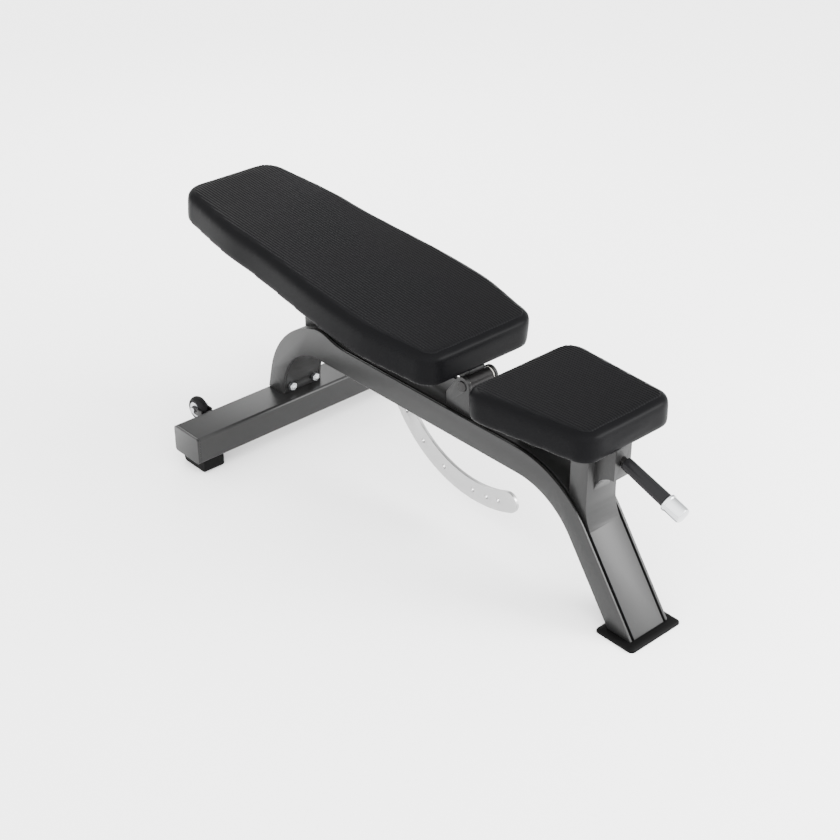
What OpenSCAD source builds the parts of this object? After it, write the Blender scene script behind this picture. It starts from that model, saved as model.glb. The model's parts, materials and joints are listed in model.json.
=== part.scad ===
// Adjustable weight bench: a gooseneck spine on a rear crossbar, a fixed seat and a
// hinged back rest that a pin locks through an arc-shaped strap.
// +X points from the head end to the seat end, Z is up, the floor is z = 0 and y = 0 is
// the plane of symmetry. "Right" is the -Y side and "left" is the +Y side.

/* [Spine] */
// Width of the spine over its side plates
spine_w = 108; // [96:1:120]
// Thickness of the side plates
plate_t = 6; // [4:0.5:8]
// Width and depth of the groove beside each side plate
groove = 6; // [4:0.5:8]
// Thickness of the top and bottom plates
skin_t = 8; // [7:0.5:10]
// Height of the beam's underside above the floor
beam_z = 240; // [225:1:250]
// Depth of the beam behind the pivot
beam_d = 57; // [52:1:62]
// Slope of the front leg, from the floor
leg_slope = 54.8; // [50:0.2:60]

/* [Crossbar] */
// Length of the rear crossbar over its end caps
bar_len = 636; // [560:2:680]
// Depth of the crossbar along the bench
bar_d = 90; // [70:1:100]
// Height of the crossbar's section
bar_h = 64; // [50:1:70]
// Clear height under the crossbar
foot_h = 32; // [26:1:40]
// Wall of the crossbar's tube
bar_wall = 3; // [2:0.5:5]

/* [Back rest] */
// Height of the back rest's hinge above the floor
pivot_z = 357; // [352:1:362]
// Tilt of the back rest in its lowest position
back_tilt = 5.9; // [4:0.1:8]
// Length of the back pad
back_len = 852.5; // [780:0.5:880]
// Thickness of the back pad with its board
back_t = 70.4; // [64:0.2:76]
// Half width of the back pad at the shoulders
neck_hw = 155; // [140:1:165]
// Half width of the back pad at the hips
hip_hw = 177; // [165:1:185]

/* [Seat] */
// Height of the seat's top at its middle
seat_z = 445; // [425:1:455]
// Tilt of the seat, front end up
seat_tilt = 2.2; // [0:0.1:4]
// Length of the seat pad
seat_len = 301; // [280:1:320]
// Thickness of the seat pad with its board
seat_t = 61; // [50:1:70]
// Half width of the seat pad at the rear
seat_rear_hw = 155; // [140:1:165]
// Half width of the seat pad at the front
seat_front_hw = 121; // [105:1:140]

/* [Adjuster] */
// Middle radius of the strap's arc about the hinge
strap_r = 263.5; // [255:0.5:268]
// Width of the strap
strap_w = 47; // [44:1:56]
// Thickness of the strap
strap_t = 8; // [6:0.5:10]
// Diameter of the locking pin
pin_d = 10; // [8:0.5:12]
// Travel of the locking pin
pin_travel = 14; // [12:0.5:16]

/* [Handle] */
// Angle of the handle below level
handle_drop = 18.6; // [10:0.2:25]
// Length of the handle from its root to its end
handle_len = 204; // [180:0.1:230]

/* [Wheels] */
// Radius of the transport wheels
wheel_r = 28; // [22:0.5:30]
// Width of the transport wheels
wheel_w = 22; // [14:0.5:26]

/* [Hidden] */

$fn = 48;
ARC_STEP = 4;                     // degrees between the points of a round stretch

// Colours
PAINT = "#5c5d5f";
PAINT_DARK = "#4a4b4c";
RUBBER = "#2b2b2c";
STEEL = "#c4c4c6";
ZINC = "#9a9b9d";
VINYL = "#2e2e30";
NYLON = "#d8d6cf";
WOOD = "#2c2825";

// Places along the bench
bar_x = -441;                     // middle of the crossbar
bar_top = foot_h + bar_h;
pivot_x = 146;
back_top = 103.6;                 // top of the back pad above the hinge, square to the pad
back_end = 10.3;                  // low end of the back pad past the hinge
seat_x = 401.5;                   // middle of the seat
board_t = 12;
bolt_clear = 0.2;                 // radial clearance of a bolt in its hole
run_clear = 0.05;                 // radial clearance of a running fit

// Round stretches of the spine, as centres and radii; angles run from straight up, + to +X
rear_c = [-262, 100];             // back of the gooseneck
rear_r = 216;
rear_a0 = -77;
rear_a1 = -12;
crown_r = 75;                     // crown of the gooseneck
crown_a = 20;
beam_top = beam_z + beam_d;
dip_r = 189;                      // hollow between the crown and the beam
bend_top_r = 228;                 // bend into the front leg, upper side
bend_low_r = 173;                 // bend into the front leg, lower side
neck_c = [-292, 104];             // inner curve of the gooseneck
neck_r = beam_z - neck_c[1];
leg_z = 5.5;                      // the leg's cut end, inside the boot

// Ray from a centre
function polar(c, r, a) = [c[0] + r * sin(a), c[1] + r * cos(a)];

crown_c = polar(rear_c, rear_r - crown_r, rear_a1);
dip_c = polar(crown_c, crown_r + dip_r, crown_a);
bend_top_c = [309, beam_top - bend_top_r];
bend_low_c = [317.7, beam_z - bend_low_r];
plate_y = spine_w / 2 - plate_t;  // inner face of a side plate
skin_y = plate_y - groove;        // edge of the top and bottom plates

// Round stretch between two such angles
function arc(c, r, a0, a1) =
    let (n = max(2, ceil(abs(a1 - a0) / ARC_STEP)))
    [for (i = [0:n]) polar(c, r, a0 + (a1 - a0) * i / n)];

// Where a line from p down the leg's slope meets height z
function down_leg(p, z) = [p[0] + (p[1] - z) / tan(leg_slope), z];

// Upper side of the spine, inset by d: from the crossbar over the gooseneck to the foot
function upper_side(d) =
    let (base = polar(rear_c, rear_r - d, rear_a0))
    concat(
        [[base[0] - (base[1] - bar_top) / tan(-rear_a0), bar_top]],
        arc(rear_c, rear_r - d, rear_a0, rear_a1),
        arc(crown_c, crown_r - d, rear_a1 + ARC_STEP, crown_a),
        arc(dip_c, dip_r + d, 180 + crown_a - ARC_STEP, 180),
        arc(bend_top_c, bend_top_r - d, 0, leg_slope),
        [down_leg(polar(bend_top_c, bend_top_r - d, leg_slope), leg_z)]);

// Lower side of the spine, inset by d, over the same length
function lower_side(d) =
    concat(
        [[neck_c[0] - neck_r - d, bar_top]],
        arc(neck_c, neck_r + d, -90, 0),
        arc(bend_low_c, bend_low_r + d, 0, leg_slope),
        [down_leg(polar(bend_low_c, bend_low_r + d, leg_slope), leg_z)]);

function reversed(list) = [for (i = [len(list) - 1:-1:0]) list[i]];

// Outline of the whole spine, inset by d
function spine_outline(d) = concat(upper_side(d), reversed(lower_side(d)));

// Thickness y0 to y1 of a shape drawn in the X-Z plane
module slab(y0, y1) {
    translate([0, y1, 0])
        rotate([90, 0, 0])
            linear_extrude(y1 - y0)
                children();
}

// Round bar along Y
module bar_y(r, y0, y1) {
    translate([0, y0, 0])
        rotate([-90, 0, 0])
            cylinder(r = r, h = y1 - y0);
}

// Round bar along X
module bar_along(r, x0, x1) {
    translate([x0, 0, 0])
        rotate([0, 90, 0])
            cylinder(r = r, h = x1 - x0);
}

// Rectangle with round corners, centred
module round_rect(w, h, r) {
    square([w - 2 * r, h], center = true);
    square([w, h - 2 * r], center = true);
    for (sx = [-1, 1], sy = [-1, 1])
        translate([sx * (w / 2 - r), sy * (h / 2 - r)])
            circle(r = r);
}

// Hexagon prism along Y, for nuts
module hex_y(across, y0, y1) {
    translate([0, y0, 0])
        rotate([-90, 0, 0])
            cylinder(d = across / cos(30), h = y1 - y0, $fn = 6);
}

// Frame of the back rest: origin on the hinge, -X along the pad to the head
module back_frame() {
    translate([pivot_x, 0, pivot_z])
        rotate([0, back_tilt, 0])
            children();
}

// Frame of the seat: origin on the seat's top at its middle
module seat_frame() {
    translate([seat_x, 0, seat_z])
        rotate([0, -seat_tilt, 0])
            children();
}

// ---------------------------------------------------------------- rear crossbar
cap_t = 6;
bar_r = 7;                        // corner radius of the crossbar

module crossbar() {
    color(PAINT)
    difference() {
        translate([bar_x, 0, foot_h + bar_h / 2])
            slab(-bar_len / 2 + cap_t, bar_len / 2 - cap_t)
                round_rect(bar_d, bar_h, bar_r);
        translate([bar_x, 0, foot_h + bar_h / 2])
            slab(-bar_len / 2, bar_len / 2)
                round_rect(bar_d - 2 * bar_wall, bar_h - 2 * bar_wall, bar_r - bar_wall);
    }
}

module bar_cap(side) {
    color(PAINT)
    translate([bar_x, side * (bar_len - cap_t) / 2, foot_h + bar_h / 2]) {
        slab(-cap_t / 2, cap_t / 2)
            round_rect(bar_d, bar_h, bar_r);
        translate([0, -side * cap_t, 0])
            slab(-cap_t / 2, cap_t / 2)
                round_rect(bar_d - 2 * bar_wall - 1, bar_h - 2 * bar_wall - 1, 3);
    }
}

// Rubber foot under each end of the crossbar
foot_y = 274;
foot_w = 54;

module rear_foot(side) {
    color(RUBBER)
    translate([bar_x, side * foot_y, 0])
        slab(-foot_w / 2, foot_w / 2)
            intersection() {
                translate([0, foot_h / 2 + 6])
                    round_rect(bar_d - 10, foot_h + 12, 10);
                translate([-bar_d / 2, 0])
                    square([bar_d, foot_h]);
            }
}

// ---------------------------------------------------------------- transport wheels
wheel_x = -518;
wheel_y = 228;
wheel_z = 90;
wheel_gap = 1;                    // between the wheel and each cheek of its bracket
cheek_t = 3;
tread = 11;                       // thickness of the rubber tyre
tread_arc = 14;                   // radius of the tyre's rounded tread
axle_r = 4;
bar_back = bar_x - bar_d / 2;

module wheel_place(side) {
    translate([wheel_x, side * wheel_y, wheel_z])
        children();
}

module wheel_bracket(side) {
    inner = wheel_w / 2 + wheel_gap;
    reach = bar_back - wheel_x;
    back_plate = 3;
    color(PAINT_DARK)
    wheel_place(side) {
        difference() {
            for (s = [-1, 1])
                slab(s > 0 ? inner : -inner - cheek_t, s > 0 ? inner + cheek_t : -inner) {
                    circle(r = 9);
                    translate([0, -9])
                        square([reach, 18]);
                }
            bar_y(axle_r + bolt_clear, -30, 30);
        }
        translate([reach - back_plate, -inner - 0.5, -28])
            cube([back_plate, 2 * inner + 1, 31]);
    }
}

module wheel_hub(side) {
    color(ZINC)
    wheel_place(side)
        difference() {
            bar_y(wheel_r - tread, -wheel_w / 2, wheel_w / 2);
            bar_y(axle_r + run_clear, -30, 30);
        }
}

module wheel_tyre(side) {
    color(RUBBER)
    wheel_place(side)
        rotate([90, 0, 0])
            rotate_extrude($fn = 64)
                intersection() {
                    translate([wheel_r - tread, -wheel_w / 2])
                        square([tread, wheel_w]);
                    translate([wheel_r - tread_arc, 0])
                        circle(r = tread_arc);
                }
}

module wheel_bolts() {
    reach = wheel_w / 2 + wheel_gap + cheek_t;
    color(STEEL)
    for (side = [-1, 1])
        wheel_place(side) {
            bar_y(axle_r, -reach, reach + 5);
            bar_y(7, -reach - 4, -reach);
        }
}

module wheel_nuts() {
    reach = wheel_w / 2 + wheel_gap + cheek_t;
    color(STEEL)
    for (side = [-1, 1])
        wheel_place(side)
            difference() {
                hex_y(13, reach, reach + 7);
                bar_y(axle_r, reach - 1, reach + 5);
            }
}

// ---------------------------------------------------------------- gooseneck joint
tongue_x0 = -466;
tongue_x1 = -437;
tongue_h = 38;
neck_bolt_z = bar_top + 17;
neck_bolt_y = 33;
neck_bolt_r = 5;
neck_rear_x = -480.5;             // the leg's rear face at the bolts' height
neck_front_x = -427;              // the leg's front face there

module neck_bolt_holes() {
    for (s = [-1, 1])
        translate([0, s * neck_bolt_y, neck_bolt_z])
            bar_along(neck_bolt_r + bolt_clear, neck_rear_x - 20, neck_front_x + 20);
}

module neck_tongue() {
    color(PAINT_DARK)
    difference() {
        translate([tongue_x0, -skin_y, bar_top])
            cube([tongue_x1 - tongue_x0, 2 * skin_y, tongue_h]);
        translate([tongue_x0 + 4, -skin_y + 3, bar_top - 1])
            cube([tongue_x1 - tongue_x0 - 8, 2 * skin_y - 6, tongue_h + 2]);
        neck_bolt_holes();
    }
}

module neck_bolts() {
    color(STEEL)
    for (s = [-1, 1])
        translate([0, s * neck_bolt_y, neck_bolt_z]) {
            bar_along(neck_bolt_r, neck_rear_x - 2, neck_front_x + 12);
            bar_along(8.5, neck_rear_x - 9, neck_rear_x - 2);
        }
}

module neck_nuts() {
    color(STEEL)
    for (s = [-1, 1])
        translate([neck_front_x + 1, s * neck_bolt_y, neck_bolt_z])
            rotate([0, 90, 0])
                difference() {
                    cylinder(d = 17 / cos(30), h = 9, $fn = 6);
                    translate([0, 0, -1])
                        cylinder(r = neck_bolt_r, h = 11);
                }
}

// ---------------------------------------------------------------- spine
slot_hw = strap_t / 2 + 3;        // half width of the strap's slots
pin_a = 68;                       // the pin's place behind straight down, about the hinge
pin_pos = [pivot_x - strap_r * sin(pin_a), pivot_z - strap_r * cos(pin_a)];
barrel_r = 13;

module pin_place() {
    translate([pin_pos[0], 0, pin_pos[1]])
        children();
}

module side_plate(side) {
    y0 = side > 0 ? plate_y : -plate_y - plate_t;
    color(PAINT)
    difference() {
        slab(y0, y0 + plate_t)
            polygon(spine_outline(0));
        if (side > 0)
            pin_place()
                bar_y(barrel_r, plate_y - 1, plate_y + plate_t + 1);
    }
}

module groove_web(side) {
    y0 = side > 0 ? skin_y : -skin_y - groove;
    color(PAINT_DARK)
    difference() {
        slab(y0, y0 + groove)
            polygon(concat(upper_side(groove), reversed(lower_side(skin_t))));
        if (side > 0)
            pin_place()
                bar_y(pin_d / 2 + 0.5, skin_y - 1, plate_y + 1);
    }
}

module spine_top_plate() {
    color(PAINT)
    difference() {
        slab(-skin_y, skin_y)
            polygon(concat(upper_side(0), reversed(upper_side(skin_t))));
        neck_bolt_holes();
        strap_slot(beam_top - skin_t / 2);
    }
}

module spine_bottom_plate() {
    color(PAINT)
    difference() {
        slab(-plate_y, plate_y)
            polygon(concat(lower_side(0), reversed(lower_side(skin_t))));
        neck_bolt_holes();
        strap_slot(beam_z + skin_t / 2);
    }
}

// Straight-sided slots that clear the strap in each plate
module strap_slot(z) {
    drop = pivot_z - z;
    r0 = strap_r - strap_w / 2;
    r1 = strap_r + strap_w / 2;
    x0 = pivot_x - sqrt(r1 * r1 - pow(drop - skin_t, 2)) - 5;
    x1 = pivot_x - sqrt(r0 * r0 - pow(drop + skin_t, 2)) + 5;
    translate([x0, -slot_hw, z - skin_t])
        cube([x1 - x0, 2 * slot_hw, 2 * skin_t]);
}

// ---------------------------------------------------------------- front foot
boot_x0 = 555;
boot_x1 = 651.5;
boot_hw = 72;
sole_z = 2.5;                     // the boot's floor under the leg
sole_x0 = down_leg(polar(bend_low_c, bend_low_r, leg_slope), sole_z)[0] - 1;
sole_x1 = down_leg(polar(bend_top_c, bend_top_r, leg_slope), sole_z)[0] + 1;
boot_edge = 5;                    // height of the boot's upright edge
boot_h = 9;

module front_boot() {
    mid = (boot_x0 + boot_x1) / 2;
    color(RUBBER)
    difference() {
        hull() {
            translate([mid, 0, 0])
                linear_extrude(boot_edge)
                    round_rect(boot_x1 - boot_x0, 2 * boot_hw, 10, $fn = 32);
            translate([mid, 0, 0])
                linear_extrude(boot_h)
                    round_rect(boot_x1 - boot_x0 - 14, 2 * boot_hw - 14, 6, $fn = 32);
        }
        slab(-spine_w / 2 - 0.3, spine_w / 2 + 0.3)
            polygon([
                down_leg([sole_x0, sole_z], boot_h + 4),
                [sole_x0, sole_z],
                [sole_x1, sole_z],
                down_leg([sole_x1, sole_z], boot_h + 4)]);
    }
}

module leg_end_plate() {
    color(PAINT_DARK)
    translate([sole_x0 + 1, -spine_w / 2 + 0.5, sole_z])
        cube([sole_x1 - sole_x0 - 5, spine_w - 1, leg_z - sole_z]);
}

// ---------------------------------------------------------------- back rest hinge
ear_y = 33;
ear_t = 8;
ear_r = 20;
ear_back = 46;                    // reach of the ears behind and ahead of the hinge
ear_front = 32;
shaft_r = 10;
washer_t = 2;

module pivot_ear(side) {
    y0 = side > 0 ? ear_y : -ear_y - ear_t;
    color(PAINT)
    difference() {
        slab(y0, y0 + ear_t)
            polygon(concat(
                [[pivot_x - ear_back, beam_top], [pivot_x - ear_back, beam_top + 30]],
                arc([pivot_x, pivot_z], ear_r, -50, 90),
                [[pivot_x + ear_r, beam_top + 16], [pivot_x + ear_front, beam_top]]));
        translate([pivot_x, 0, pivot_z])
            bar_y(shaft_r + run_clear, -60, 60);
    }
}

// Plate that ties the ears together behind the hinge
module pivot_plate() {
    color(PAINT)
    translate([pivot_x - ear_back + 2, -ear_y, beam_top])
        cube([6, 2 * ear_y, 34]);
}

module pivot_shaft() {
    color(STEEL)
    translate([pivot_x, 0, pivot_z])
        difference() {
            bar_y(shaft_r, -ear_y - ear_t, ear_y + ear_t);
            for (s = [-1, 1])
                bar_y(5, s > 0 ? 14 : -50, s > 0 ? 50 : -14);
        }
}

module pivot_screws() {
    edge = ear_y + ear_t;
    color(STEEL)
    for (s = [-1, 1])
        translate([pivot_x, s * edge, pivot_z])
            rotate([s > 0 ? -90 : 90, 0, 0]) {
                translate([0, 0, -16])
                    cylinder(r = 5, h = 16);
                cylinder(r1 = 12, r2 = 11, h = 2.5);
            }
}

module pivot_washers() {
    color(NYLON)
    translate([pivot_x, 0, pivot_z])
        for (s = [-1, 1])
            difference() {
                bar_y(17, s > 0 ? ear_y - washer_t : -ear_y, s > 0 ? ear_y : -ear_y + washer_t);
                bar_y(shaft_r + run_clear, -60, 60);
            }
}

tube_hw = ear_y - washer_t - 0.1; // half length of the hinge tube
tube_r = 17;
bush_r = 13;

module hinge_tube() {
    color(PAINT)
    back_frame()
        difference() {
            bar_y(tube_r, -tube_hw, tube_hw);
            bar_y(bush_r, -60, 60);
        }
}

module hinge_bushes() {
    color(NYLON)
    back_frame()
        for (s = [-1, 1])
            difference() {
                bar_y(bush_r, s > 0 ? tube_hw - 18 : -tube_hw, s > 0 ? tube_hw : -tube_hw + 18);
                bar_y(shaft_r + run_clear, -60, 60);
            }
}

// ---------------------------------------------------------------- back rest
rail_hw = 21.5;
rail_end = -560;
cross_h = 6;
cross_w = 46;
cross_xs = [-470, -120];
cross_hw = [90, 110];
bolt_r = 4;

// Half width of the back pad at u, where u runs from 0 at the head to 1 at the low end
function smooth(t) = t * t * (3 - 2 * t);
function blend(a, b, t) = a + (b - a) * smooth(min(1, max(0, t)));
function pad_hw(u) =
    u < 0.3 ? blend(neck_hw - 30, neck_hw, (u + 0.06) / 0.36)
    : u < 0.72 ? blend(neck_hw, hip_hw, (u - 0.3) / 0.42)
    : blend(hip_hw, hip_hw - 27, (u - 0.77) / 0.23);

// Half outline of the back pad, with round ends, grown or shrunk by d
head_r = 60;
low_r = 46;
function back_side(d) =
    let (x_head = back_end - back_len, n = 22,
        u0 = head_r / back_len, u1 = 1 - low_r / back_len,
        hw0 = pad_hw(u0), hw1 = pad_hw(u1))
    concat(
        [for (i = [0:6]) let (a = i * 15)
            [x_head + head_r - (head_r + d) * cos(a), hw0 - head_r + (head_r + d) * sin(a)]],
        [for (i = [1:n - 1]) let (u = u0 + (u1 - u0) * i / n)
            [x_head + u * back_len, pad_hw(u) + d]],
        [for (i = [0:6]) let (a = i * 15)
            [back_end - low_r + (low_r + d) * sin(a), hw1 - low_r + (low_r + d) * cos(a)]]);

function mirrored(side) = concat(side, [for (p = reversed(side)) [p[0], -p[1]]]);

module back_outline(d) {
    polygon(mirrored(back_side(d)));
}

edge_drop = 14;                   // height of the pads' sloped upper edge
edge_in = 11;
pad_tuck = 10;                    // how far a board sits inside its cushion's outline

module back_cushion() {
    low = back_top - back_t;
    color(VINYL)
    back_frame()
        difference() {
            hull() {
                translate([0, 0, low])
                    linear_extrude(back_t - edge_drop)
                        back_outline(0);
                translate([0, 0, low])
                    linear_extrude(back_t)
                        back_outline(-edge_in);
            }
            translate([0, 0, low - 1])
                linear_extrude(board_t + 1)
                    back_outline(-pad_tuck);
        }
}

module back_board() {
    color(WOOD)
    back_frame()
        difference() {
            translate([0, 0, back_top - back_t])
                linear_extrude(board_t)
                    back_outline(-pad_tuck);
            back_bolt_holes(bolt_r + bolt_clear);
        }
}

module back_bolt_holes(r) {
    for (i = [0, 1], sy = [-1, 1], sx = [-1, 1])
        translate([cross_xs[i] + sx * 12, sy * (cross_hw[i] - 14), back_top - back_t - cross_h - 10])
            cylinder(r = r, h = cross_h + 10 + board_t - 2);
}

module cross_bar(i) {
    color(PAINT_DARK)
    back_frame()
        difference() {
            translate([cross_xs[i] - cross_w / 2, -cross_hw[i], back_top - back_t - cross_h])
                cube([cross_w, 2 * cross_hw[i], cross_h]);
            back_bolt_holes(bolt_r + bolt_clear);
        }
}

module back_bolts() {
    head_z = back_top - back_t - cross_h;
    color(STEEL)
    back_frame()
        for (i = [0, 1], sy = [-1, 1], sx = [-1, 1])
            translate([cross_xs[i] + sx * 12, sy * (cross_hw[i] - 14), head_z]) {
                cylinder(r = bolt_r, h = cross_h + board_t - 3);
                translate([0, 0, -5])
                    cylinder(r = 7, h = 5);
            }
}

module carriage_tube() {
    top = back_top - back_t - cross_h;
    color(PAINT)
    back_frame()
        difference() {
            translate([rail_end, -rail_hw, 0])
                cube([-rail_end - 3, 2 * rail_hw, top]);
            translate([rail_end - 1, -rail_hw + 3, 3])
                cube([-rail_end - 20, 2 * rail_hw - 6, top - 6]);
            bar_y(tube_r, -60, 60);
        }
}

// ---------------------------------------------------------------- adjuster strap
strap_end_a = 27.8 + back_tilt;   // free end, ahead of straight down in the pad's frame
rest_hole = back_tilt - pin_a;    // hole that the pin meets at rest, in the pad's frame
hole_steps = [0, 16, 32, 48, 67.5, 76.5, 84];
strap_bolt_at = [[-248, -20], [-276, -20]];
strap_bolt_r = 5;

// Point on the strap: angle from straight down, positive towards +X, in the pad's frame
function on_strap(r, a) = [r * sin(a), -r * cos(a)];

module strap_shape() {
    n = 40;
    r0 = strap_r - strap_w / 2;
    r1 = strap_r + strap_w / 2;
    a0 = -90;
    a1 = strap_end_a - asin(strap_w / 2 / strap_r);
    polygon(concat(
        [for (i = [0:n]) on_strap(r1, a0 + (a1 - a0) * i / n)],
        [for (i = [1:11]) let (c = on_strap(strap_r, a1), a = a1 + i * 15)
            c + strap_w / 2 * [sin(a), -cos(a)]],
        [for (i = [n:-1:0]) on_strap(r0, a0 + (a1 - a0) * i / n)]));
}

module adjuster_strap() {
    color(STEEL)
    back_frame()
        difference() {
            slab(-strap_t / 2, strap_t / 2)
                strap_shape();
            for (step = hole_steps)
                let (p = on_strap(strap_r, rest_hole + step))
                    translate([p[0], 0, p[1]])
                        bar_y(pin_d / 2 + 0.4, -20, 20);
            for (p = strap_bolt_at)
                translate([p[0], 0, p[1]])
                    bar_y(strap_bolt_r + bolt_clear, -20, 20);
        }
}

lug_t = 6;

module strap_lugs() {
    color(PAINT)
    back_frame()
        difference() {
            for (s = [-1, 1])
                slab(s > 0 ? strap_t / 2 : -strap_t / 2 - lug_t, s > 0 ? strap_t / 2 + lug_t : -strap_t / 2)
                    polygon([[-300, 0], [-296, -30], [-286, -38], [-238, -38], [-228, -30], [-222, 0]]);
            for (p = strap_bolt_at)
                translate([p[0], 0, p[1]])
                    bar_y(strap_bolt_r + bolt_clear, -20, 20);
        }
}

module strap_bolts() {
    half = strap_t / 2 + lug_t;
    color(STEEL)
    back_frame()
        for (p = strap_bolt_at)
            translate([p[0], 0, p[1]]) {
                bar_y(strap_bolt_r, -half, half);
                bar_y(8.5, -half - 6, -half);
                bar_y(8.5, half, half + 8);
            }
}

// Nylon blocks that guide the strap inside the beam, bored for the pin
guide_w = 44;
guide_gap = 0.5;

module strap_guides() {
    color(NYLON)
    difference() {
        for (s = [-1, 1])
            pin_place()
                translate([-guide_w / 2, s > 0 ? strap_t / 2 + guide_gap : -slot_hw - 12, 0])
                    translate([0, 0, -guide_low])
                        cube([guide_w, 12 + slot_hw - strap_t / 2 - guide_gap, guide_low + guide_up]);
        pin_place()
            bar_y(pin_d / 2 + run_clear, -60, 60);
    }
}

guide_low = pin_pos[1] - beam_z - skin_t;
guide_up = beam_top - skin_t - pin_pos[1] - 2.5;

// ---------------------------------------------------------------- rest post
post_x0 = -370;
post_x1 = -322;
post_hw = 30;
bumper_h = 12;

module rest_post() {
    top = pivot_z + (pivot_x - post_x1) * tan(back_tilt) - bumper_h - 3;
    color(PAINT)
    difference() {
        slab(-post_hw, post_hw)
            difference() {
                translate([post_x0, beam_top - 40])
                    square([post_x1 - post_x0, top - beam_top + 40]);
                polygon(spine_outline(0));
            }
        translate([post_x0 + 4, -post_hw + 4, beam_top - 60])
            cube([post_x1 - post_x0 - 8, 2 * post_hw - 8, top - beam_top + 56]);
    }
}

module rest_bumper() {
    z0 = pivot_z + (pivot_x - post_x1) * tan(back_tilt) - bumper_h - 3;
    color(RUBBER)
    difference() {
        translate([post_x0 + 2, -18, z0])
            cube([post_x1 - post_x0 - 4, 36, bumper_h + 12]);
        back_frame()
            translate([rail_end - 20, -60, -0.3])
                cube([700, 120, 80]);
    }
}

// ---------------------------------------------------------------- locking pin
barrel_y1 = 88;
collar_r = 8;
spring_y0 = 68;
spring_y1 = 84;

module pin_barrel() {
    color(ZINC)
    pin_place()
        difference() {
            union() {
                bar_y(barrel_r, plate_y, barrel_y1);
                hex_y(32, plate_y + plate_t, plate_y + plate_t + 7);
            }
            bar_y(collar_r + 0.5, plate_y + 2, 200);
            bar_y(pin_d / 2 + run_clear, 0, 60);
        }
}

module pin_cap() {
    color(ZINC)
    pin_place()
        difference() {
            union() {
                bar_y(barrel_r, barrel_y1, barrel_y1 + 3);
                bar_y(collar_r + 0.5, spring_y1, barrel_y1);
            }
            bar_y(pin_d / 2 + run_clear, 0, 120);
        }
}

knob_y = barrel_y1 + 3 + pin_travel + 1;
tip_y = strap_t / 2 + 1;          // the pulled pin's tip, just clear of the strap

module lock_pin() {
    color(STEEL)
    pin_place() {
        bar_y(pin_d / 2, tip_y + 1.5, knob_y + 14);
        translate([0, tip_y, 0])
            rotate([-90, 0, 0])
                cylinder(r1 = pin_d / 2 - 1.5, r2 = pin_d / 2, h = 1.5);
        bar_y(collar_r, spring_y0 - 3, spring_y0);
    }
}

module pin_spring() {
    turns = 6;
    wire = 0.7;
    coil_r = 6.6;
    color(STEEL)
    pin_place()
        translate([0, spring_y0 + 0.3, 0])
            rotate([-90, 0, 0])
                linear_extrude(spring_y1 - spring_y0 - 0.6, twist = -360 * turns, slices = 12 * turns)
                    polygon([for (a = [0:60:300]) [coil_r + wire * cos(a), wire * sin(a)]]);
}

module pin_knob() {
    color(RUBBER)
    pin_place()
        difference() {
            rotate([-90, 0, 0])
                rotate_extrude()
                    translate([0, knob_y])
                        polygon([[0, 0], [9, 0], [9, 6], [15, 10], [18, 15], [18, 23],
                            [16, 29], [10, 33], [0, 34]]);
            bar_y(pin_d / 2, knob_y - 1, knob_y + 14);
        }
}

// ---------------------------------------------------------------- seat
channel_h = 30;
channel_hw = 30;
channel_x0 = -112;
channel_x1 = 74;
riser_x0 = 292;
riser_x1 = 336;
seat_bolt_xs = [-95, 58];

// Half outline of the seat pad, with round corners, grown or shrunk by d
seat_corner = 42;
function seat_side(d) =
    let (x0 = -seat_len / 2, x1 = seat_len / 2, k = seat_corner, r = seat_corner + d,
        lean = atan((seat_rear_hw - seat_front_hw) / seat_len))
    concat(
        [for (i = [0:6]) let (a = i * (90 + lean) / 6)
            [x0 + k - r * cos(a), seat_rear_hw - k - 2 + r * sin(a)]],
        [for (i = [0:6]) let (a = lean + i * (90 - lean) / 6)
            [x1 - k + r * sin(a), seat_front_hw - k + 4 + r * cos(a)]]);

module seat_outline(d) {
    polygon(mirrored(seat_side(d)));
}

module seat_cushion() {
    color(VINYL)
    seat_frame()
        difference() {
            hull() {
                translate([0, 0, -seat_t])
                    linear_extrude(seat_t - edge_drop)
                        seat_outline(0);
                translate([0, 0, -seat_t])
                    linear_extrude(seat_t)
                        seat_outline(-edge_in);
            }
            translate([0, 0, -seat_t - 1])
                linear_extrude(board_t + 1)
                    seat_outline(-pad_tuck);
        }
}

module seat_bolt_holes(r) {
    for (x = seat_bolt_xs, s = [-1, 1])
        translate([x, s * 19, -seat_t - channel_h - 1])
            cylinder(r = r, h = channel_h + board_t - 1);
}

module seat_board() {
    color(WOOD)
    seat_frame()
        difference() {
            translate([0, 0, -seat_t])
                linear_extrude(board_t)
                    seat_outline(-pad_tuck);
            seat_bolt_holes(bolt_r + bolt_clear);
        }
}

module seat_channel() {
    wall = 4;
    color(PAINT)
    seat_frame()
        difference() {
            translate([channel_x0, -channel_hw, -seat_t - channel_h])
                cube([channel_x1 - channel_x0, 2 * channel_hw, channel_h]);
            translate([channel_x0 - 1, -channel_hw + wall, -seat_t - channel_h - 1])
                cube([channel_x1 - channel_x0 + 2, 2 * channel_hw - 2 * wall, channel_h - wall + 1]);
            seat_bolt_holes(bolt_r + bolt_clear);
        }
}

module seat_bolts() {
    wall = 4;
    color(STEEL)
    seat_frame()
        for (x = seat_bolt_xs, s = [-1, 1])
            translate([x, s * 19, -seat_t - wall]) {
                cylinder(r = bolt_r, h = wall + board_t - 3);
                translate([0, 0, -5])
                    cylinder(r = 6.5, h = 5);
            }
}

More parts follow.
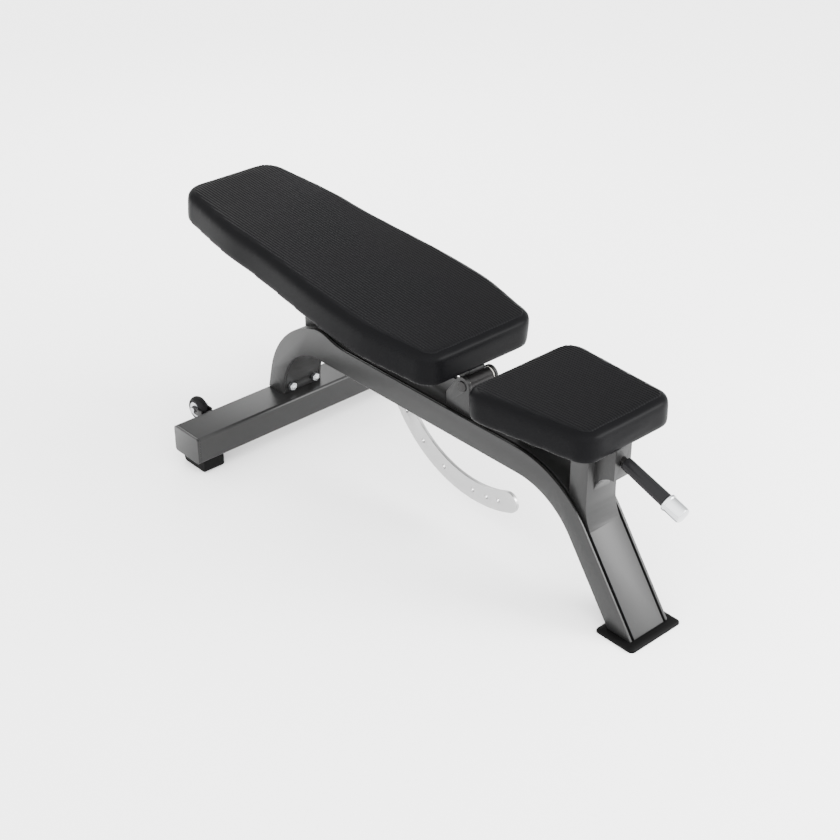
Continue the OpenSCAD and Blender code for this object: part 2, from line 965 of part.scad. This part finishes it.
module seat_riser() {
    color(PAINT)
    difference() {
        slab(-channel_hw, channel_hw)
            difference() {
                translate([riser_x0, beam_top - 20])
                    square([riser_x1 - riser_x0, 120]);
                polygon(spine_outline(0));
            }
        translate([riser_x0 + 4, -channel_hw + 4, beam_top - 30])
            cube([riser_x1 - riser_x0 - 8, 2 * channel_hw - 8, 160]);
        seat_frame()
            translate([-200, -60, -seat_t - channel_h])
                cube([400, 120, 100]);
    }
}

// ---------------------------------------------------------------- front post and handle
front_hw = 22;                    // half width of the post's nose
base_hw = 42;                     // half width of its base
base_x = 488;                     // front of its base
base_sweep = 110;                 // radius that blends the base into the leg
sweep_z = 245;                    // where that blend meets the upright front
post_low = 215;                   // inside the spine, to be cut by it
post_top = 420;                   // above the seat's board, to be cut by it
front_wall = 5;
front_x0 = 444;
nose_x = 535;
nose_z = 312;
nose_fillet = nose_x - base_x;    // blends the nose's underside into the base's front
handle_x = 490;
handle_z = 365;
root_len = 30;
root_h = 28;
rod_r = 8;
grip_start = 54;
grip_end = 164;

module handle_frame() {
    translate([handle_x, 0, handle_z])
        rotate([0, handle_drop, 0])
            children();
}

// Box post under the front of the seat: it carries the channel and the handle
module front_post() {
    color(PAINT)
    difference() {
        union() {
            slab(-front_hw, front_hw)
                polygon(concat(
                    [[front_x0, post_low], [front_x0, post_top], [nose_x, post_top]],
                    arc([nose_x, nose_z - nose_fillet], nose_fillet, 0, -90),
                    [[base_x, post_low]]));
            slab(-base_hw, base_hw)
                polygon(concat(
                    [[front_x0, post_low], [front_x0, post_top], [base_x, post_top]],
                    arc([base_x + base_sweep, sweep_z], base_sweep, -90, leg_slope - 180),
                    [[base_x + 26, sweep_z - 95]]));
        }
        slab(-base_hw - 1, base_hw + 1)
            polygon(spine_outline(0));
        translate([front_x0 + front_wall, -base_hw + front_wall, beam_z])
            cube([base_x - front_x0 - 2 * front_wall,
                2 * (base_hw - front_wall), post_top - beam_z]);
        translate([front_x0 + front_wall, -front_hw + front_wall, nose_z + front_wall])
            cube([nose_x - front_x0 - 2 * front_wall, 2 * (front_hw - front_wall), post_top]);
        seat_frame()
            translate([-200, -60, -seat_t])
                cube([400, 120, 100]);
        seat_frame()
            translate([-200, -60, -seat_t - channel_h])
                cube([200 + channel_x1 + 0.5, 120, 100]);
        handle_frame()
            bar_along(rod_r + bolt_clear, 2, 300);
    }
}

module handle_root() {
    half = front_hw - front_wall;
    color(PAINT_DARK)
    handle_frame()
        difference() {
            translate([0, -half, -root_h / 2])
                cube([root_len, 2 * half, root_h]);
            bar_along(rod_r, 2, 300);
        }
}

module handle_bar() {
    color(STEEL)
    handle_frame()
        bar_along(rod_r, 2, handle_len - 8);
}

module handle_grip() {
    color(RUBBER)
    handle_frame()
        rotate([0, 90, 0])
            rotate_extrude()
                polygon([[rod_r, grip_start], [12, grip_start], [13, grip_start + 3],
                    [14, grip_end - 4], [14, grip_end], [rod_r, grip_end]]);
}

module handle_cap() {
    end = handle_len;
    rim = 18;
    color(STEEL)
    handle_frame()
        rotate([0, 90, 0])
            rotate_extrude()
                polygon([[rod_r, grip_end], [rim, grip_end], [rim, grip_end + 5],
                    [rim - 1.5, grip_end + 6], [rim - 1.5, end - 4], [rim - 2.5, end],
                    [0, end], [0, end - 8], [rod_r, end - 8]]);
}

crossbar();
bar_cap(-1);  // bar_cap_right
bar_cap(1);  // bar_cap_left
rear_foot(-1);  // rear_foot_right
rear_foot(1);  // rear_foot_left
wheel_bracket(-1);  // wheel_bracket_right
wheel_bracket(1);  // wheel_bracket_left
wheel_hub(-1);  // wheel_hub_right
wheel_hub(1);  // wheel_hub_left
wheel_tyre(-1);  // wheel_tyre_right
wheel_tyre(1);  // wheel_tyre_left
wheel_bolts();
wheel_nuts();
neck_tongue();
neck_bolts();
neck_nuts();
side_plate(-1);  // side_plate_right
side_plate(1);  // side_plate_left
groove_web(-1);  // groove_web_right
groove_web(1);  // groove_web_left
spine_top_plate();
spine_bottom_plate();
front_boot();
leg_end_plate();
pivot_ear(-1);  // pivot_ear_right
pivot_ear(1);  // pivot_ear_left
pivot_plate();
pivot_shaft();
pivot_screws();
pivot_washers();
rest_post();
rest_bumper();
strap_guides();
pin_barrel();
pin_cap();
seat_riser();
seat_channel();
seat_board();
seat_cushion();
seat_bolts();
front_post();
handle_root();
handle_bar();
handle_grip();
handle_cap();
hinge_tube();
hinge_bushes();
carriage_tube();
cross_bar(1);  // cross_bar_front
cross_bar(0);  // cross_bar_rear
back_board();
back_cushion();
back_bolts();
strap_lugs();
adjuster_strap();
strap_bolts();
lock_pin();
pin_spring();
pin_knob();
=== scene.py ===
import json
import math

import bmesh
import bpy
from mathutils import Matrix, Vector
from mathutils.bvhtree import BVHTree


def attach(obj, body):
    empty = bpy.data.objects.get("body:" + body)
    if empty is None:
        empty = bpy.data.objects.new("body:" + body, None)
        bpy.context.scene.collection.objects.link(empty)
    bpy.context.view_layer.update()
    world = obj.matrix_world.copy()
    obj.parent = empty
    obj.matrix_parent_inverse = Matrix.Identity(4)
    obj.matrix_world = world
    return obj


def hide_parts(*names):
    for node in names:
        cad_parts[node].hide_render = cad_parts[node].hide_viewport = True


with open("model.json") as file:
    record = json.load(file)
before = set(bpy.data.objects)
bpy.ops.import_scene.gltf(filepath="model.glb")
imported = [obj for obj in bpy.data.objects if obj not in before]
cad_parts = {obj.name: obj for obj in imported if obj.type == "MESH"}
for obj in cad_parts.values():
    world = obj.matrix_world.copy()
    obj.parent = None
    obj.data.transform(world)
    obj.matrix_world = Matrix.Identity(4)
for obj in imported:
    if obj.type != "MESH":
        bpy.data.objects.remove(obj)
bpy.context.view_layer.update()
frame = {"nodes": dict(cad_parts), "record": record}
NODES = frame["nodes"]
MM = 0.001

# ---------------------------------------------------------------- materials


def linear(code):
    """An sRGB hex colour as linear RGBA."""
    parts = [int(code[i:i + 2], 16) / 255 for i in (1, 3, 5)]
    return [c / 12.92 if c <= 0.04045 else ((c + 0.055) / 1.055) ** 2.4 for c in parts] + [1]


def add(tree, kind, settings=None, inputs=None, links=None):
    """A shader node with its settings, socket values and links from other nodes' outputs."""
    node = tree.nodes.new(kind)
    for key, value in (settings or {}).items():
        setattr(node, key, value)
    for key, value in (inputs or {}).items():
        node.inputs[key].default_value = value
    for key, source in (links or {}).items():
        tree.links.new(source, node.inputs[key])
    return node


def material(name, colour, values):
    """A material with a colour and its shader's values, and its tree and shader to build on."""
    made = bpy.data.materials.new(name)
    made.use_nodes = True
    made.diffuse_color = linear(colour)
    tree = made.node_tree
    shader = tree.nodes["Principled BSDF"]
    shader.inputs["Base Color"].default_value = linear(colour)
    for key, value in values.items():
        shader.inputs[key].default_value = value
    return made, tree, shader


# A pattern's Scale is in lumps per metre, and a bump's Distance is its relief in metres.


def powder_coat(name, colour, roughness=0.38):
    """Powder-coated steel: an even satin skin with a slight orange peel, 2 mm across."""
    made, tree, shader = material(name, colour, {
        "Metallic": 0.35, "Roughness": roughness, "Specular IOR Level": 0.25,
        "Coat Weight": 0.05, "Coat Roughness": 0.3,
    })
    peel = add(tree, "ShaderNodeTexNoise",
               inputs={"Scale": 1 / (2 * MM), "Detail": 2, "Roughness": 0.6},
               links={"Vector": add(tree, "ShaderNodeTexCoord").outputs["Object"]})
    bump = add(tree, "ShaderNodeBump", inputs={"Strength": 0.25, "Distance": 0.08 * MM},
               links={"Height": peel.outputs["Fac"]})
    tree.links.new(bump.outputs["Normal"], shader.inputs["Normal"])
    return made


def bare_steel(name, colour, roughness, brush=(900, 900, 900)):
    """Bare or plated steel: a bright metal, its polish broken by brushing of 0.7 to 17 mm."""
    made, tree, shader = material(name, colour, {"Metallic": 1.0, "Roughness": roughness})
    along = add(tree, "ShaderNodeMapping", inputs={"Scale": brush},
                links={"Vector": add(tree, "ShaderNodeTexCoord").outputs["Object"]})
    streaks = add(tree, "ShaderNodeTexNoise", inputs={"Scale": 1.0, "Detail": 4.0},
                  links={"Vector": along.outputs["Vector"]})
    bump = add(tree, "ShaderNodeBump", inputs={"Strength": 0.15, "Distance": 0.05 * MM},
               links={"Height": streaks.outputs["Fac"]})
    tree.links.new(bump.outputs["Normal"], shader.inputs["Normal"])
    return made


def vinyl(name, colour, roughness):
    """Upholstery vinyl: a soft dark sheen over an embossed grain of about 1.1 mm."""
    made, tree, shader = material(name, colour, {
        "Roughness": roughness, "Specular IOR Level": 0.03,
    })
    grain = add(tree, "ShaderNodeTexVoronoi", inputs={"Scale": 900},
                links={"Vector": add(tree, "ShaderNodeTexCoord").outputs["Object"]})
    bump = add(tree, "ShaderNodeBump", inputs={"Strength": 0.25, "Distance": 0.12 * MM},
               links={"Height": grain.outputs["Distance"]})
    tree.links.new(bump.outputs["Normal"], shader.inputs["Normal"])
    return made


def moulded(name, colour, roughness, grain=700, depth=0.1 * MM):
    """Moulded rubber or plastic: an even stipple from the mould, 1.4 mm across by default."""
    made, tree, shader = material(name, colour, {
        "Roughness": roughness, "Specular IOR Level": 0.06,
    })
    stipple = add(tree, "ShaderNodeTexNoise",
                  inputs={"Scale": grain, "Detail": 3.0, "Roughness": 0.6},
                  links={"Vector": add(tree, "ShaderNodeTexCoord").outputs["Object"]})
    bump = add(tree, "ShaderNodeBump", inputs={"Strength": 0.3, "Distance": depth},
               links={"Height": stipple.outputs["Fac"]})
    tree.links.new(bump.outputs["Normal"], shader.inputs["Normal"])
    return made


def plywood(name):
    """Plywood stained black: nearly flat, its grain 125 mm long along X and 6 mm wide."""
    made, tree, shader = material(name, "#2c2825", {
        "Roughness": 0.6, "Specular IOR Level": 0.1,
    })
    along = add(tree, "ShaderNodeMapping", inputs={"Scale": (8, 160, 160)},
                links={"Vector": add(tree, "ShaderNodeTexCoord").outputs["Object"]})
    figure = add(tree, "ShaderNodeTexNoise", inputs={"Scale": 1.0, "Detail": 5.0},
                 links={"Vector": along.outputs["Vector"]})
    ramp = add(tree, "ShaderNodeValToRGB", links={"Fac": figure.outputs["Fac"]})
    stops = ((0.35, "#12100f"), (0.7, "#1e1a17"))
    for stop, (position, colour) in zip(ramp.color_ramp.elements, stops):
        stop.position = position
        stop.color = linear(colour)
    tree.links.new(ramp.outputs["Color"], shader.inputs["Base Color"])
    return made


FRAME_PAINT = powder_coat("powder_coat_satin_grey", "#1c1c1c")
DARK_PAINT = powder_coat("powder_coat_dark_grey", "#111010", 0.45)
STRAP_STEEL = bare_steel("brushed_strap_steel", "#a6a6a6", 0.36, (60, 1500, 1500))
ZINC = bare_steel("zinc_plate", "#a9abad", 0.34)
CHROME = bare_steel("polished_chrome", "#b4b6b8", 0.12)
BLACK_VINYL = vinyl("black_vinyl", "#070708", 0.42)
RIBBED_VINYL = vinyl("ribbed_black_vinyl", "#0c0c0d", 0.5)
RUBBER = moulded("moulded_black_rubber", "#040404", 0.6)
TYRE = moulded("solid_tyre_rubber", "#0c0c0d", 0.55)
NYLON = moulded("natural_nylon", "#dad8d0", 0.45)
GLOSS = moulded("glossy_black_sleeve", "#161617", 0.16, grain=200, depth=0.03 * MM)
PLYWOOD = plywood("black_stained_plywood")

FINISHES = {
    "frame_paint": FRAME_PAINT, "dark_paint": DARK_PAINT, "vinyl": BLACK_VINYL,
    "board": PLYWOOD, "rubber": RUBBER, "tyre": TYRE, "strap_steel": STRAP_STEEL,
    "zinc": ZINC, "chrome": CHROME, "nylon": NYLON, "grip": GLOSS, "knob": GLOSS,
}
SLOT_OF = {part["node"]: part["material_slot"] for part in frame["record"]["subparts"]}

for node, holder in NODES.items():
    holder.data.materials.clear()
    holder.data.materials.append(FINISHES[SLOT_OF[node]])

# ---------------------------------------------------------------- pieces made from the CAD


def piece(name, mesh, finish, body, stands_for=()):
    """Adds a mesh to the scene as a named piece that rides with a body."""
    holder = bpy.data.objects.new(name, mesh)
    bpy.context.collection.objects.link(holder)
    mesh.materials.clear()
    mesh.materials.append(finish)
    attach(holder, body)
    if stands_for:
        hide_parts(*stands_for)
    return holder


def body_of(node):
    """The name of the body that holds a CAD node."""
    bodies = frame["record"]["behaviour"]["bodies"]
    return next(name for name, held in bodies.items() if node in held)


def solid_from(node):
    """A clean copy of a CAD node's mesh as a bmesh, its flat faces joined up."""
    shape = bmesh.new()
    shape.from_mesh(NODES[node].data)
    bmesh.ops.remove_doubles(shape, verts=shape.verts, dist=2e-6)
    bmesh.ops.dissolve_limit(shape, angle_limit=math.radians(0.5), verts=shape.verts,
                             edges=shape.edges, delimit={"NORMAL"})
    return shape


def mesh_from(shape, name):
    """Turns a bmesh into a smooth-shaded mesh and frees it."""
    mesh = bpy.data.meshes.new(name)
    shape.to_mesh(mesh)
    shape.free()
    for face in mesh.polygons:
        face.use_smooth = True
    return mesh


EDGE_SEGMENTS = 3
SHARP = math.radians(38)         # edges that turn more than this are rounded
EDGE_RADII = {                   # in millimetres
    "crossbar": 0.3, "bar_cap_right": 1.0, "bar_cap_left": 1.0,
    "side_plate_right": 1.6, "side_plate_left": 1.6,
    "groove_web_right": 0.5, "groove_web_left": 0.5,
    "spine_top_plate": 1.5, "spine_bottom_plate": 1.5,
    "rear_foot_right": 3.0, "rear_foot_left": 3.0, "front_boot": 1.5,
    "pivot_ear_right": 1.2, "pivot_ear_left": 1.2, "rest_post": 1.2, "rest_bumper": 2.0,
    "seat_riser": 1.2, "seat_channel": 1.2, "front_post": 6.0, "pivot_plate": 1.0,
    "handle_root": 1.5, "carriage_tube": 1.5,
    "cross_bar_front": 1.0, "cross_bar_rear": 1.0, "strap_lugs": 1.0, "adjuster_strap": 0.8,
    "back_board": 2.0, "seat_board": 2.0, "wheel_bracket_right": 0.6,
    "wheel_bracket_left": 0.6, "wheel_tyre_right": 1.5, "wheel_tyre_left": 1.5,
    "neck_bolts": 0.8, "neck_nuts": 0.8, "wheel_bolts": 0.6, "wheel_nuts": 0.6,
    "handle_cap": 0.8, "handle_grip": 1.0, "pivot_screws": 0.6,
    "back_bolts": 0.5, "seat_bolts": 0.5, "strap_bolts": 0.8, "pin_barrel": 0.6,
    "pin_cap": 0.4, "pin_knob": 1.0,
}


def rounded(node, radius):
    """Stands a copy of a CAD node, its sharp edges rounded, in the node's place."""
    mesh = mesh_from(solid_from(node), node + "_shape")
    holder = piece(node + "_finished", mesh, FINISHES[SLOT_OF[node]], body_of(node), [node])
    bevel = holder.modifiers.new("edges", "BEVEL")
    bevel.width = radius
    bevel.segments = EDGE_SEGMENTS
    bevel.limit_method = "ANGLE"
    bevel.angle_limit = SHARP
    bevel.harden_normals = True
    bevel.use_clamp_overlap = True


for node, radius in EDGE_RADII.items():
    rounded(node, radius * MM)

# ---------------------------------------------------------------- pads

RIB_PITCH = 7 * MM
RIB_HEIGHT = 1.5 * MM
RIB_SAMPLES = 5                  # grid lines across each rib
BORDER = 15 * MM                 # from a pad's edge to its ribbed panel
INSET = 0.6 * MM                 # how much smaller a cover starts than the pad
SWELL = 3 * MM                   # furthest the foam may push its cover out
TUCK = 0.4 * MM                  # how far a cover's underside is above its CAD pad's
TOP_ROLL = 13 * MM               # rounding of a cover's top rim
SOLE_ROLL = 4 * MM               # rounding of its lower rim
MESH_SIZE = 6 * MM               # spacing of a cover's even mesh
PANEL_LIFT = 0.4 * MM            # bottom of the grooves above the cover
PANEL_SINK = 1.2 * MM            # how deep a panel's edge goes under the cover
PANEL_FADE = 4 * MM              # width over which it does
PANEL_ROWS = 120
CORNER_STEPS = 6                 # points round each of an outline's corners
SIDE_STEPS = 30                  # and along its sides


def smooth_step(t):
    t = min(1.0, max(0.0, t))
    return t * t * (3 - 2 * t)


def back_width(u):
    """Half width of the back pad, u running from 0 at the head to 1 at the low end."""
    head, shoulder, hip, low = (v * MM for v in (125, 155, 177, 150))
    if u < 0.3:
        return head + (shoulder - head) * smooth_step((u + 0.06) / 0.36)
    if u < 0.72:
        return shoulder + (hip - shoulder) * smooth_step((u - 0.3) / 0.42)
    return hip + (low - hip) * smooth_step((u - 0.77) / 0.23)


def seat_width(u):
    """Half width of the seat pad, u running from 0 at the rear to 1 at the front."""
    return (155 - 34 * u) * MM


def half_outline(length, width, corners, grow):
    """One side of a pad's outline from end to end, its ends rounded, grown by grow."""
    first, last = corners
    start, end = -length / 2 + first, length / 2 - last
    w0, w1 = width(first / length), width(1 - last / length)
    turns = [math.radians(90 * i / CORNER_STEPS) for i in range(CORNER_STEPS + 1)]
    points = [(start - (first + grow) * math.cos(a), w0 - first + (first + grow) * math.sin(a))
              for a in turns]
    for i in range(1, SIDE_STEPS):
        x = start + (end - start) * i / SIDE_STEPS
        points.append((x, width(x / length + 0.5) + grow))
    points += [(end + (last + grow) * math.sin(a), w1 - last + (last + grow) * math.cos(a))
               for a in turns]
    return points


def width_along(points, x):
    """Half width at x of an outline made by half_outline."""
    for (x0, y0), (x1, y1) in zip(points, points[1:]):
        if x <= x1:
            return y0 + (y1 - y0) * max(0.0, x - x0) / max(x1 - x0, 1e-9)
    return points[-1][1]


def pad_place(node):
    """A pad's own frame, its origin mid-top and its length along X, and its size."""
    solid = solid_from(node)
    top = max((f for f in solid.faces if f.normal.z > 0.9), key=lambda f: f.calc_area())
    lean = math.atan2(top.normal.x, top.normal.z)
    place = Matrix.Translation(top.calc_center_bounds()) @ Matrix.Rotation(lean, 4, "Y")
    back = place.inverted()
    spots = [back @ v.co for v in solid.verts]
    solid.free()
    length = max(c.x for c in spots) - min(c.x for c in spots)
    return place, length, -min(c.z for c in spots)


def settle(holder, cap):
    """Blows a closed cover up from inside, no point moving out further than cap."""
    start = [(v.co.copy(), v.normal.copy()) for v in holder.data.vertices]
    cloth = holder.modifiers.new("foam", "CLOTH")
    cloth.settings.quality = 5
    cloth.settings.mass = 0.4
    cloth.settings.tension_stiffness = 30
    cloth.settings.compression_stiffness = 30
    cloth.settings.bending_stiffness = 2
    cloth.settings.use_pressure = True
    cloth.settings.uniform_pressure_force = 4
    cloth.settings.effector_weights.gravity = 0
    for step in range(1, 21):
        bpy.context.scene.frame_set(step)
    seen = holder.evaluated_get(bpy.context.evaluated_depsgraph_get())
    moved = [v.co.copy() for v in seen.data.vertices]
    holder.modifiers.remove(cloth)
    bpy.context.scene.frame_set(1)
    for vertex, (before, outward), reached in zip(holder.data.vertices, start, moved):
        vertex.co = before + outward * min(cap, max(0.0, (reached - before).dot(outward)))


def pad_block(side, depth):
    """A closed block under an outline, its top and lower rims rolled, as a bmesh."""
    shape = bmesh.new()
    ring = side + [(x, -y) for x, y in reversed(side)]
    sole = shape.faces.new([shape.verts.new((x, y, -depth + TUCK)) for x, y in ring])
    raised = bmesh.ops.extrude_face_region(shape, geom=[sole])["geom"]
    lifted = [g for g in raised if isinstance(g, bmesh.types.BMVert)]
    bmesh.ops.translate(shape, vec=(0, 0, depth - TUCK - INSET), verts=lifted)
    bmesh.ops.recalc_face_normals(shape, faces=shape.faces)
    for level, roll, segments in ((-INSET, TOP_ROLL, 4), (-depth + TUCK, SOLE_ROLL, 2)):
        rim = [e for e in shape.edges if all(abs(v.co.z - level) < 1e-5 for v in e.verts)]
        bmesh.ops.bevel(shape, geom=rim, offset=roll, segments=segments, profile=0.5,
                        affect="EDGES", material=-1)
    bmesh.ops.triangulate(shape, faces=shape.faces)
    return shape


def meshed_evenly(holder):
    """Gives a cover the even mesh that its cloth simulation needs."""
    remesh = holder.modifiers.new("even", "REMESH")
    remesh.mode = "VOXEL"
    remesh.voxel_size = MESH_SIZE
    seen = holder.evaluated_get(bpy.context.evaluated_depsgraph_get())
    even = bpy.data.meshes.new_from_object(seen)
    holder.modifiers.remove(remesh)
    holder.data = even


def pad_cover(name, node, width, corners, body):
    place, length, depth = pad_place(node)
    block = pad_block(half_outline(length, width, corners, -INSET), depth)
    holder = piece(name, mesh_from(block, name + "_shape"), BLACK_VINYL, body, [node])
    meshed_evenly(holder)
    settle(holder, SWELL)
    soft = bmesh.new()
    soft.from_mesh(holder.data)
    for _ in range(3):
        bmesh.ops.smooth_vert(soft, verts=soft.verts, factor=0.5, use_axis_x=True,
                              use_axis_y=True, use_axis_z=True)
    surface = BVHTree.FromBMesh(soft)
    bmesh.ops.transform(soft, matrix=place, verts=soft.verts)
    soft.to_mesh(holder.data)
    soft.free()
    for face in holder.data.polygons:
        face.use_smooth = True
    finer = holder.modifiers.new("finer", "SUBSURF")
    finer.levels = finer.render_levels = 1
    return surface, place, length


def ribbed_panel(name, surface, place, length, width, corners, body):
    """The ribbed panel set into a pad's top: a fine sheet laid on the cover, ribs along X."""
    side = half_outline(length, width, corners, -BORDER)
    reach = side[-1][0]
    widest = max(y for _, y in side)
    columns = 2 * math.ceil(widest / RIB_PITCH * RIB_SAMPLES)
    sheet = bmesh.new()
    bmesh.ops.create_grid(sheet, x_segments=PANEL_ROWS, y_segments=columns, size=0.5)
    down = Vector((0, 0, -1))
    for vertex in sheet.verts:
        x = -reach * math.cos(math.pi * (vertex.co.x + 0.5))
        half = width_along(side, x)
        y = 2 * vertex.co.y * half
        hit = surface.ray_cast(Vector((x, y, 0.1)), down)[0]
        edge = min(half - abs(y), reach - abs(x))
        shown = smooth_step(edge / PANEL_FADE)
        rib = 0.5 + 0.5 * math.cos(2 * math.pi * y / RIB_PITCH)
        lift = (PANEL_LIFT + RIB_HEIGHT * rib) * shown - PANEL_SINK * (1 - shown)
        vertex.co = (x, y, hit.z + lift)
    bmesh.ops.transform(sheet, matrix=place, verts=sheet.verts)
    bmesh.ops.recalc_face_normals(sheet, faces=sheet.faces)
    if sum(f.normal.z for f in sheet.faces) < 0:
        bmesh.ops.reverse_faces(sheet, faces=sheet.faces)
    holder = piece(name, mesh_from(sheet, name + "_shape"), RIBBED_VINYL, body)
    thick = holder.modifiers.new("cloth_thickness", "SOLIDIFY")
    thick.thickness = 1.5 * MM
    thick.offset = -1
    return holder


for name, node, width, corners, body in (
    ("back_pad", "back_cushion", back_width, (60 * MM, 46 * MM), "back_rest"),
    ("seat_pad", "seat_cushion", seat_width, (42 * MM, 42 * MM), "frame"),
):
    surface, place, length = pad_cover(name + "_cover", node, width, corners, body)
    ribbed_panel(name + "_ribbed_panel", surface, place, length, width, corners, body)

# ---------------------------------------------------------------- stage, light and camera

bpy.ops.mesh.primitive_plane_add(size=40, location=(0, 0, 0))
floor = bpy.context.object
floor.name = "floor"
paper, _, _ = material("white_backdrop_paper", "#ffffff", {"Roughness": 0.9})
floor.data.materials.append(paper)

world = bpy.data.worlds.new("studio")
bpy.context.scene.world = world
world.use_nodes = True
sky = world.node_tree.nodes["Background"]
sky.inputs["Color"].default_value = linear("#ffffff")

# The surround is brightest on the camera's side and falls off behind the bench.
direction = add(world.node_tree, "ShaderNodeTexCoord")
toward_front = add(world.node_tree, "ShaderNodeVectorMath", settings={"operation": "DOT_PRODUCT"},
                   inputs={1: (0.75, -0.66, 0)}, links={0: direction.outputs["Generated"]})
brightness = add(world.node_tree, "ShaderNodeMapRange",
                 inputs={"From Min": -0.7, "From Max": 0.5, "To Min": 1.6, "To Max": 6.0},
                 links={"Value": toward_front.outputs["Value"]})
world.node_tree.links.new(brightness.outputs["Result"], sky.inputs["Strength"])


def soft_box(name, place, aim, size, watts):
    """A rectangular lamp at a place, facing a point on the bench."""
    lamp = bpy.data.lights.new(name, "AREA")
    lamp.shape = "RECTANGLE"
    lamp.size, lamp.size_y = size
    lamp.energy = watts
    holder = bpy.data.objects.new(name, lamp)
    bpy.context.collection.objects.link(holder)
    holder.location = place
    holder.rotation_euler = (Vector(aim) - Vector(place)).to_track_quat("-Z", "Y").to_euler()


soft_box("leg_reflector", (2.7, 1.75, 1.45), (0.55, 0, 0.2), (1.6, 1.2), 200)
soft_box("rear_reflector", (-2.2, 1.2, 1.6), (-0.2, 0, 0.3), (1.0, 1.0), 25)

# A long lens ahead of the bench and to its right, looking down on it by 31 degrees.
camera = bpy.data.cameras.new("camera")
camera.sensor_width = 36
camera.lens = 68.957
eye = bpy.data.objects.new("camera", camera)
bpy.context.collection.objects.link(eye)
eye.location = (2.1407, -1.9593, 1.9447)
eye.rotation_euler = (math.radians(90 - 31.05), math.radians(-0.05), math.radians(47.88))
bpy.context.scene.camera = eye
